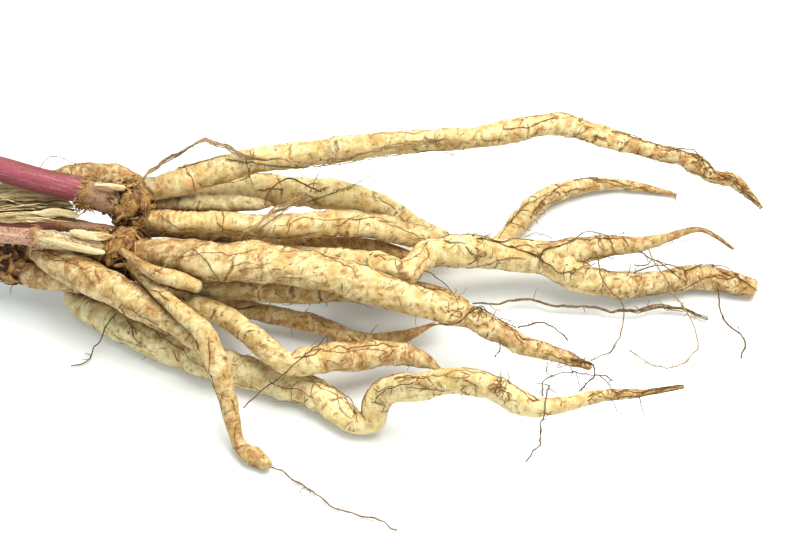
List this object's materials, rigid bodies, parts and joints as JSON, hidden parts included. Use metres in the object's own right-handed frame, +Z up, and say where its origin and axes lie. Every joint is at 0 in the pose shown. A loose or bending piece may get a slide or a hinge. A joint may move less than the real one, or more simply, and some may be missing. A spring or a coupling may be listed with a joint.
{
  "type": "skirret root",
  "caption": "Bunch of long knobbly pale fleshy roots spreading from a brown fibrous crown, with cut leaf stems and fine rootlets, lying on its side.",
  "frame": {"origin": "bottom centre of the bunch's box, on the surface it lies on", "axes": "+Z up, +X from the crown and stems towards the roots' tips, +Y towards the side away from the kinked root"},
  "size_m": [0.3126, 0.167, 0.0656],
  "materials": {
    "root_skin": "matt, pale cream skin with brown cracks and specks",
    "crown_bark": "rough, fibrous, soil stained",
    "stem_red": "satin, fine lengthwise ridges",
    "stem_pale": "satin, pinkish white",
    "dry_husk": "matt, dry and fibrous",
    "rootlet": "matt, brown"
  },
  "bodies": {
    "root": {"crown": "crown_bark", "root_top": "root_skin", "root_back": "root_skin", "root_third": "root_skin", "root_centre": "root_skin", "root_under": "root_skin", "root_dark": "root_skin", "root_pointed": "root_skin", "root_kinked": "root_skin", "root_drooping": "root_skin", "root_left_upper": "root_skin", "root_left_lower": "root_skin", "root_short": "root_skin", "root_pale": "root_skin", "root_slim": "root_skin", "root_behind": "root_skin", "root_trailing": "root_skin", "stem_large": "stem_red", "stem_brown": "stem_red", "stem_pale": "stem_pale", "sheath_rolled": "dry_husk", "petiole_stub": "dry_husk", "husk_upper": "dry_husk", "husk_inner": "dry_husk", "husk_rear": "dry_husk", "husk_lower": "dry_husk", "sheath_flat": "dry_husk", "fibre_over_top": "rootlet", "fibre_loop": "rootlet", "fibre_thick": "rootlet", "fibre_ground": "rootlet", "fibre_hook_near": "rootlet", "fibre_hook_far": "rootlet", "fibre_right": "rootlet", "fibre_left": "rootlet", "fibre_droop_tip": "rootlet", "fibre_under": "rootlet", "fibre_hanging": "rootlet", "root_forked": "root_skin"}
  },
  "joints": []
}
